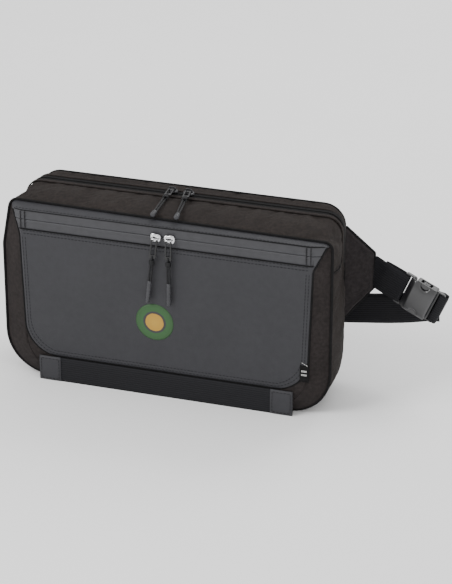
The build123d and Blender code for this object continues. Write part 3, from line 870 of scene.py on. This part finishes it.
def hang(name, pivot, sideways, down, outward, pull, cord, sleeve, radius):
    """The doubled cord through a pull's eye, its knot, and the moulded end that holds it."""
    def at(x, y, n):
        return pivot + sideways * x + down * y + outward * n

    foot = pull + cord
    body = f"{name}_pull"
    route = spline([at(*p) for p in (
        (-0.95, foot + 2, 0), (-1.15, foot - cord * 0.3, 0.25), (-1.0, foot - cord * 0.7, 0.5),
        (-0.55, pull + 1.2, 1.3), (0, pull - 1.2, 1.5), (0, pull - 1.9, 0), (0, pull - 1.2, -1.4),
        (0.55, pull + 1.2, -1.0), (1.0, foot - cord * 0.7, -0.3), (1.2, foot - cord * 0.3, 0.1),
        (0.95, foot + 2, 0))], 0.8)
    strand = tube(f"{name}_cord_loop", route, CORD_RADIUS, cord_braid,
                  body=body, sides=8, lumps=0.06)
    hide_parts(f"{name}_pull_cord")
    turns = []
    for i in range(49):
        angle = tau * i / 16
        height = pull + 2.4 + 1.5 * i / 16
        turns.append(at(2.0 * cos(angle), height, 0.3 + 1.75 * sin(angle)))
    knot = tube(f"{name}_cord_knot", turns, 0.85, cord_braid,
                body=body, sides=8, lumps=0.06)
    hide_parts(f"{name}_pull_cord")
    profile = [(0, 0.55), (0.3, 0.78), (1.0, 0.88), (2.2, 0.94)]
    ridge = 3.0
    while ridge < sleeve - 2.0:
        profile += [(ridge, 0.94), (ridge + 0.35, 0.84), (ridge + 0.9, 0.84), (ridge + 1.25, 0.95)]
        ridge += 2.2 if sleeve < 12 else 3.4
    profile += [(sleeve - 1.4, 1.0), (sleeve - 0.5, 0.9), (sleeve - 0.1, 0.6), (sleeve, 0.2)]
    rings = []
    for reach, size in profile:
        for angle in circle(18):
            across = radius * size * cos(angle)
            rings.append(at(across, foot + reach, radius * size * sin(angle) * 0.92))
    faces = ring_faces(len(rings), 18)
    end = make(f"{name}_moulded_end", rings, faces, sleeve_plastic, body=body)
    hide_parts(f"{name}_pull_end")


def slider_look(name, node, centre, up, nose, material):
    """A zip slider: a rounded wedge with a waist, and a bail over the pull's pin."""
    side = Vector((1, 0, 0)).cross(up)
    rings = []
    for u in np.linspace(-1, 1, 15):
        round_off = (1 - abs(u) ** 4) ** 0.5 * 0.92 + 0.08
        waist = 0.5 * exp(-((u * nose - 0.2) / 0.25) ** 2)
        wide = (SLIDER_HALF_WIDTH - 0.8 * (u * nose + 1) / 2 - waist) * round_off
        high = (3.0 + 0.35 * u * nose) * round_off
        for angle in circle(16):
            c, sn = cos(angle), sin(angle)
            across = wide * copysign(abs(c) ** 0.6, c)
            rise = 0.35 + high * 0.5 * (1 + copysign(abs(sn) ** 0.7, sn))
            along = Vector((u * SLIDER_HALF_LENGTH, 0, 0))
            rings.append(centre + along + side * across + up * rise)
    faces = ring_faces(len(rings), 16)
    body = make(f"{name}_body", rings, faces, material, body=node)
    refine(body)
    arch = [(-3.4, 2.6), (-3.3, 4.6), (-2.2, 5.9), (0.2, 6.0), (2.2, 5.6), (3.3, 4.4), (3.6, 2.6)]
    path = spline([centre + Vector((x, 0, 0)) + up * z for x, z in arch], 0.6)
    bail = tube(f"{name}_bail", path, 0.72, material, body=node)
    for a in (body, bail):
        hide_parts(node)


# The left front pull leans, the top pulls droop a little, and the right one is turned outward
droop = radians(5)
for side, word in SIDES:
    front = Vector((side * FRONT_SLIDER_X, PANEL_FACE, ZIP_MIDDLE))
    top = Vector((TOP_ZIP_CENTRE + side * TOP_SLIDER_X, TOP_ZIP_Y, TAPE_TOP))
    slider_look(f"front_{word}_zip", f"front_{word}_slider", front, FORWARD, -side, chrome)
    slider_look(f"top_{word}_zip", f"top_{word}_slider", top, UP, -side, black_metal)
    dress(f"front_{word}_pull", pull_black, 0.25)
    dress(f"top_{word}_pull", pull_black, 0.25)
    lean = radians(7 if side < 0 else 0)
    sideways = Vector((cos(lean), 0, -sin(lean)))
    down = Vector((-sin(lean), 0, -cos(lean)))
    hang(f"front_{word}", front + FORWARD * PIVOT_HEIGHT, sideways, down, FORWARD,
         pull=20, cord=24, sleeve=23, radius=2.2)
    tilt = radians(7 if side > 0 else 0)
    sideways = Vector((cos(tilt), sin(tilt), 0))
    level = Vector((sin(tilt), -cos(tilt), 0))
    down = level * cos(droop) - UP * sin(droop)
    outward = level * sin(droop) + UP * cos(droop)
    hang(f"top_{word}", top + UP * PIVOT_HEIGHT, sideways, down, outward,
         pull=15, cord=34, sleeve=8, radius=2.7)


# --- Main zip: over the top and down both sides
def zip_line(y, grow):
    """The shell's outline at y, from the left side over the top to the right side."""
    over = [Vector(p) for p in body_ring(y, grow) if p[2] > 131.0]
    over.sort(key=lambda p: atan2(-p.x, p.z - 100))
    return resample(list(reversed(over)), 2.4)


top_line = zip_line(TOP_ZIP_Y, 0.55)
tape = strap("main_zip_tape", top_line, BACKWARD, 12.0, 0.7, dark_tape)
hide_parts("top_zip_tape")
coil_points = []
coil_path = resample(zip_line(TOP_ZIP_Y, 1.15), 0.6)
coil_frames = frames_along(coil_path, False, BACKWARD)
for i, (point, (_, side, upward)) in enumerate(zip(coil_path, coil_frames)):
    for angle in circle(8):
        tooth = 1.0 + 0.28 * cos(pi * i + (0 if angle < pi else pi))
        wide = upward * cos(angle) * 1.45 * tooth
        coil_points.append(point + wide + side * sin(angle) * 0.36)
coil_faces = ring_faces(len(coil_points), 8)
coil = make("main_zip_coil", coil_points, coil_faces, dark_tape)
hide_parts("top_zip_coil")

folds = []
for y, word in ((TOP_ZIP_Y - 7.2, "front"), (TOP_ZIP_Y + 7.2, "rear")):
    fold = zip_line(y, 0.9)
    strap(f"zip_fold_{word}", fold, BACKWARD, 4.6, 1.3, shell_fabric)
    offset = -1.2 if y < TOP_ZIP_Y else 1.2
    folds.append([p + Vector((0, offset, 0)) + Vector((p.x * 0.0012, 0, 0.55)) for p in fold])
stitches("zip_stitching", folds)


# --- Back panel: sewn into padded channels
BACK_MIDDLE = 92.5  # the panel's middle height and half its height
BACK_HALF = 88
CHANNEL = 0.36  # where the two sewn channels are, as a share of that half


def pillow(name, rows, columns, place, material):
    """A closed pad from a front and a back grid of place(u, v, facing), and its rim's points."""
    points = []
    for facing in (1, -1):
        for i in range(rows):
            for j in range(columns):
                points.append(place(2 * i / (rows - 1) - 1, 2 * j / (columns - 1) - 1, facing))
    faces = grid_faces(rows, columns)
    count = rows * columns
    faces += [tuple(count + k for k in reversed(f)) for f in grid_faces(rows, columns)]
    rim = list(range(columns)) + [i * columns + columns - 1 for i in range(1, rows)]
    rim += [(rows - 1) * columns + j for j in reversed(range(columns - 1))]
    rim += [i * columns for i in reversed(range(1, rows - 1))]
    for a, b in zip(rim, rim[1:] + rim[:1]):
        faces.append((b, a, count + a, count + b))
    return make(name, points, faces, material), rim


def back_point(u, v, facing):
    z = BACK_MIDDLE + BACK_HALF * u
    x = half_width(z, 146, 4, 30, 181, 16) * v
    edge = min(1 - abs(u), 1 - abs(v)) * 7
    crown = min(edge, 1.0) ** 0.5
    channel = min(abs(abs(u) - CHANNEL) * 9, 1.0) ** 0.6 if abs(v) < 0.8 else 1.0
    if facing > 0:
        return (x, 41.0 + 3.2 * crown * channel + 0.3, z)
    return (x, 40.6, z)


back_pad, _ = pillow("padded_back", 52, 84, back_point, spacer_mesh)
back_pins = []
for v in back_pad.data.vertices:
    u = (v.co.z * 1000 - BACK_MIDDLE) / BACK_HALF
    channel = abs(abs(u) - CHANNEL) < 0.03 and abs(v.co.x) < 0.118
    back_pins.append(1.0 if channel or v.co.y < 0.0415 else 0.0)
settle(back_pad, back_pins, 4.0, -0.01, 2.2)
refine(back_pad)
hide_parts("back_panel")
channel_rows = []
for u in (-CHANNEL, CHANNEL):
    height = BACK_MIDDLE + BACK_HALF * u
    channel_rows.append([Vector((x, 42.1, height)) for x in np.linspace(-116, 116, 60)])
stitches("back_stitching", channel_rows)


# --- Hip wings
WING_LENGTH = 29
WING_ROOT_HALF = 48.0  # half the wing's height at its root and at its tip
WING_TIP_HALF = 18.0
WING_DEPTH = 3.5  # half its thickness

for side, word, sweep in ((-1, "left", 58.0), (1, "right", 28.0)):
    turn = radians(sweep)
    root = Vector((side * 154, 40.6, 115))
    out = Vector((side * cos(turn), sin(turn), 0))
    back = Vector((-side * sin(turn), cos(turn), 0))

    def wing_point(u, v, facing):
        run = (u + 1) / 2 * 1.2 - 0.2
        half = WING_ROOT_HALF + (WING_TIP_HALF - WING_ROOT_HALF) * max(run, 0.0)
        edge = min((1 - abs(v)) * half / 5.0, (1 - run) * WING_LENGTH / 4.0, 1.0)
        puff = 3.0 * sqrt(max(edge, 0.0) * (2 - max(edge, 0.0)))
        depth = WING_DEPTH - facing * (0.4 + puff)
        return root + out * (WING_LENGTH * run) + Vector((0, 0, half * v)) + back * depth

    wing, rim = pillow(f"padded_wing_{word}", 16, 40, wing_point, wing_fabric)
    wing_pins = [0.0] * len(wing.data.vertices)
    for index in rim:
        wing_pins[index] = 1.0
        wing_pins[index + 16 * 40] = 1.0
    settle(wing, wing_pins, 4.0, -0.02, 1.2)
    refine(wing)
    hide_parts(f"hip_wing_{word}")
    binding = []
    inner = []
    for reach, height in ((1, 47), (29.2, 18), (29.2, -18), (1, -47)):
        binding.append(root + out * reach + Vector((0, 0, height)) + back * WING_DEPTH)
        inner.append(root + out * (reach - 5) + Vector((0, 0, height * 0.86)) - back * 0.35)
    tube(f"wing_binding_{word}", resample(binding, 2.0), 1.5, dark_tape, sides=8)
    stitches(f"wing_stitching_{word}", [inner])


# --- Webbing
def buckle_point(x, n, w=0.0):
    """A point so far along the buckle, out from its face and across its width."""
    return TIP + ALONG * x + FACING * n + ACROSS * w


short_route = spline([buckle_point(*p) for p in (
    (2, 0.4), (9, 0.6), (16, 2.4), (22, 2.65), (30, 2.65), (37.5, 2.65), (40.1, 2.5), (40.2, 0),
    (40.1, -2.5), (37.5, -2.65), (30, -2.65), (20, -2.6), (13, -1.6))], 1.2)
short = strap("short_webbing_fold", short_route, ACROSS, BELT_WIDTH, BELT_THICK)
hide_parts("short_webbing")


def sag_height(x):
    """The arc that the belt hangs in: its middle line's height at x."""
    on_arc = np.array([(-190.0, 110.5), (70.0, 60.0), (256.5, 91.1)])
    d, e, f = np.linalg.solve(np.column_stack((on_arc, np.ones(3))), -(on_arc ** 2).sum(axis=1))
    return -e / 2 - sqrt(max(e * e / 4 - (x * x + d * x + f), 0))


belt_route = [(243.5, 59.2), (226, 59.6), (209, 60.6), (190, 63.0), (168, 65.8), (140, 67.0),
              (-40, 67.0), (-100, 71.0), (-145, 80.0), (-165, 83.5), (-172, 77.0), (-167.2, 69.0)]
tail_route = [(234.5, 61.5), (221.5, 61.9), (208.5, 62.7), (190, 65.1), (168, 67.9), (140, 69.1),
              (5, 69.1)]
loop_route = [buckle_point(*p) for p in (
    (73.8, -4.6), (73.8, 0.5), (74.1, 2.6), (77, 2.75), (80.0, 2.7), (81.2, 1.4), (81.3, -2.5),
    (80.8, -5.6), (77.5, -6.3))]
flat_route = spline([Vector((x, y, 0)) for x, y in belt_route], 2.0)
belt_points = [Vector((p.x, p.y, sag_height(p.x))) for p in flat_route]
loop_points = spline(loop_route, 1.2)
joined = spline(loop_points[-3:] + belt_points[6:12], 1.5)
belt_line = loop_points[:-3] + joined + belt_points[12:]
belt_across = []
for i, point in enumerate(belt_line):
    turned = clamp((i - len(loop_points)) / 26.0)
    belt_across.append(ACROSS.lerp(UP, turned))
belt = strap("waist_belt_webbing", belt_line, belt_across, BELT_WIDTH, BELT_THICK)
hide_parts("waist_belt", "strap_end_loop")
tail_flat = spline([Vector((x, y, 0)) for x, y in tail_route], 2.0)
tail_line = [Vector((p.x, p.y, sag_height(p.x))) for p in tail_flat]
tail = strap("belt_tail_webbing", tail_line, UP, BELT_WIDTH, BELT_THICK)
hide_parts("belt_tail")

# Carry band under the pocket, with its coated tabs
band_line = [Vector((x, -43.2, 12.75)) for x in np.linspace(-110, 110, 90)]
band = strap("carry_band", band_line, UP, 25.5, 1.4)
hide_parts("bottom_band")
tab_rows = []
for side, word in SIDES:
    line = []
    for x in np.linspace(106, 128, 12):
        line.append(Vector((side * x, -43.5 - 0.3 * sin(pi * (x - 106) / 22), 12.9)))
    tab = strap(f"coated_tab_{word}", line, UP, 25.4, 2.0, coated_fabric)
    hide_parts(f"band_tab_{word}")
    for x in (108, 126):
        tab_rows.append([Vector((side * x, -44.75, z)) for z in np.linspace(2, 23.5, 10)])
    for z in (2.2, 23.4):
        tab_rows.append([Vector((side * x, -44.75, z)) for x in np.linspace(108, 126, 8)])
stitches("tab_stitching", tab_rows)

# Small loop label with two plain woven bars, and its pale corner stitch
LABEL_X = 139
LABEL_Z = 46
LABEL_HALF = 8.5
label_points = []
for i in range(15):
    z = LABEL_Z + LABEL_HALF * (2 * i / 14 - 1)
    for j in range(9):
        x = LABEL_X + 4.4 * (j / 4 - 1)
        label_points.append(face(x, z, 0.5 + 0.5 * cos((z - LABEL_Z) / LABEL_HALF * 1.4)))
label = make("loop_label", label_points, grid_faces(15, 9), dark_tape)
thicken(label, 0.7)
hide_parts("side_label")
bars = [[face(x, z, 1.1) for x in np.linspace(136, 142, 8)] for z in (44.6, 45.6, 48.4, 49.4)]
stitches("label_bars", bars, pale_thread, length=1.3, pitch=1.4, radius=0.4)
slant = [face(136 + 6 * t, 57.5 - 3.2 * t, 0.35) for t in np.linspace(0, 1, 5)]
stitches("label_stitch", [slant], pale_thread, length=1.8, pitch=2.2, radius=0.3)

BADGE_X = -9
BADGE_Z = 78
BADGE_RADIUS = 19.0


def badge_material():
    """Two plain colours, parted by a dark ring, by the distance from the badge's middle."""
    m = Nodes("badge print", roughness=0.5)
    offset = m.vector("SUBTRACT", m.place(), (BADGE_X * MM, PANEL_FACE * MM, BADGE_Z * MM))
    offset = m.vector("MULTIPLY", offset, (1.0, 0.0, 1.0))
    node = m.add("ShaderNodeVectorMath", operation="LENGTH")
    m.link(offset, node.inputs[0])
    reach = m.math("MULTIPLY", node.outputs["Value"], 1 / (BADGE_RADIUS * MM))
    worn = m.math("MULTIPLY", m.noise(420.0, 4.0), 0.06)
    gap = (0.022, 0.022, 0.025)
    m.colour(m.ramp(m.math("ADD", reach, worn), (
        (0.0, (0.42, 0.25, 0.03)), (0.50, (0.38, 0.21, 0.02)), (0.53, gap), (0.62, gap),
        (0.65, (0.02, 0.085, 0.018)), (0.98, (0.016, 0.065, 0.014)))))
    m.bump(m.weave(0.0007), 0.00006)
    return m.material


badge_points = []
for i in range(16):
    for angle in circle(64):
        r = BADGE_RADIUS * max(i, 0.02) / 15
        rim = 0.5 if i < 15 else 0.1
        badge_points.append(face(BADGE_X + r * cos(angle), BADGE_Z + r * sin(angle), rim))
badge_faces = [tuple(reversed(f)) for f in grid_faces(16, 64, wrap_columns=True)]
badge_faces.append(tuple(range(64)))
badge = make("round_badge", badge_points, badge_faces, badge_material())
thicken(badge, 0.5)
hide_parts("pocket_badge")

# Moulded crown over the buckle's face. It ramps up from the male half's slot, is higher along its
# middle, and is notched beside each release arm.
CROWN_MIDDLE = 56.2
CROWN_REACH = 13.6
NOTCH_MIDDLE = 57.5
NOTCH_REACH = 5.2


def crown_half(x):
    """Half the crown's width, x along the buckle."""
    return 16.2 - 5.0 * sqrt(max(0.0, 1 - ((x - NOTCH_MIDDLE) / NOTCH_REACH) ** 2))


def crown_height(x, across):
    ramp = clamp((x - 42.6) / 5.6)
    ends = max(0.0, 1 - abs((x - CROWN_MIDDLE) / CROWN_REACH) ** 10) ** 0.5
    ridge = 2.6 * max(0.0, 1 - abs(across / 17.0) ** 2.2) * ends
    return 1.6 + 2.9 * ramp * ramp * (3 - 2 * ramp) + ridge


crown_points = []
for i in range(55):
    x = CROWN_MIDDLE + CROWN_REACH * (i / 27 - 1)
    for j in range(37):
        v = j / 18 - 1
        across = crown_half(x) * v
        crown_points.append(buckle_point(x, crown_height(x, across) - 0.9 * v ** 12, across))
crown = make("buckle_crown", crown_points, grid_faces(55, 37), acetal)
thicken(crown, 0.9)
# A thin dark tube along each notch's edge paints the shadow in the gap beside the release arm
for side, word in ((-1, "lower"), (1, "upper")):
    rim = []
    for x in NOTCH_MIDDLE - NOTCH_REACH * np.cos(np.linspace(0, pi, 30)):
        w = side * crown_half(x)
        rim.append(buckle_point(x, crown_height(x, w) - 0.6, w))
    tube(f"crown_notch_shadow_{word}", rim, 0.6, pull_black, sides=8)
grips = []
for side in (-1, 1):
    for reach in (54.6, 56.6, 58.6, 60.6):
        grips.append([buckle_point(reach, n, side * 16.75) for n in np.linspace(-1.3, 1.3, 6)])
for number, path in enumerate(grips):
    arm = "upper_arm" if number >= 4 else "lower_arm"
    tube(f"arm_grip_{number}", path, 0.35, acetal, sides=6, body=arm)

# Buckle and the parts that are carried over from the CAD model
for name, material, bevel in (
    ("buckle_male", acetal, 0.6), ("buckle_female", acetal, 0.9),
    ("release_arm_upper", acetal, 0.5), ("release_arm_lower", acetal, 0.5),
    ("belt_keeper", dark_tape, 0.5), ("back_foam", foam, 0),
    ("inner_slip_pocket", lining, 0), ("pocket_lining", lining, 0),
):
    dress(name, material, bevel)

# --- Floor and light
bpy.ops.mesh.primitive_plane_add(size=30)
floor = bpy.context.object
floor.name = "floor"
floor_look = Nodes("floor", roughness=0.9)
pale = ((0.3, (0.93, 0.93, 0.93)), (0.7, (0.96, 0.96, 0.96)))
floor_look.colour(floor_look.ramp(floor_look.noise(3.0), pale))
floor.data.materials.append(floor_look.material)

world = bpy.data.worlds.new("studio")
world.use_nodes = True
sky = world.node_tree.nodes["Background"].inputs
sky["Color"].default_value = (1.0, 1.0, 1.0, 1)
sky["Strength"].default_value = 1.1
scene.world = world
for name, place, size, power in (
    ("key", (-1.4, -1.5, 1.9), 1.1, 42),
    ("fill", (1.8, -1.4, 1.2), 1.6, 6),
    ("rim", (0.6, 1.6, 1.8), 1.2, 22),
):
    light = bpy.data.lights.new(name, "AREA")
    light.size = size
    light.energy = power
    lamp = bpy.data.objects.new(name, light)
    lamp.location = place
    aim = Vector((0.03, 0, 0.09)) - Vector(place)
    lamp.rotation_euler = aim.to_track_quat("-Z", "Y").to_euler()
    scene.collection.objects.link(lamp)
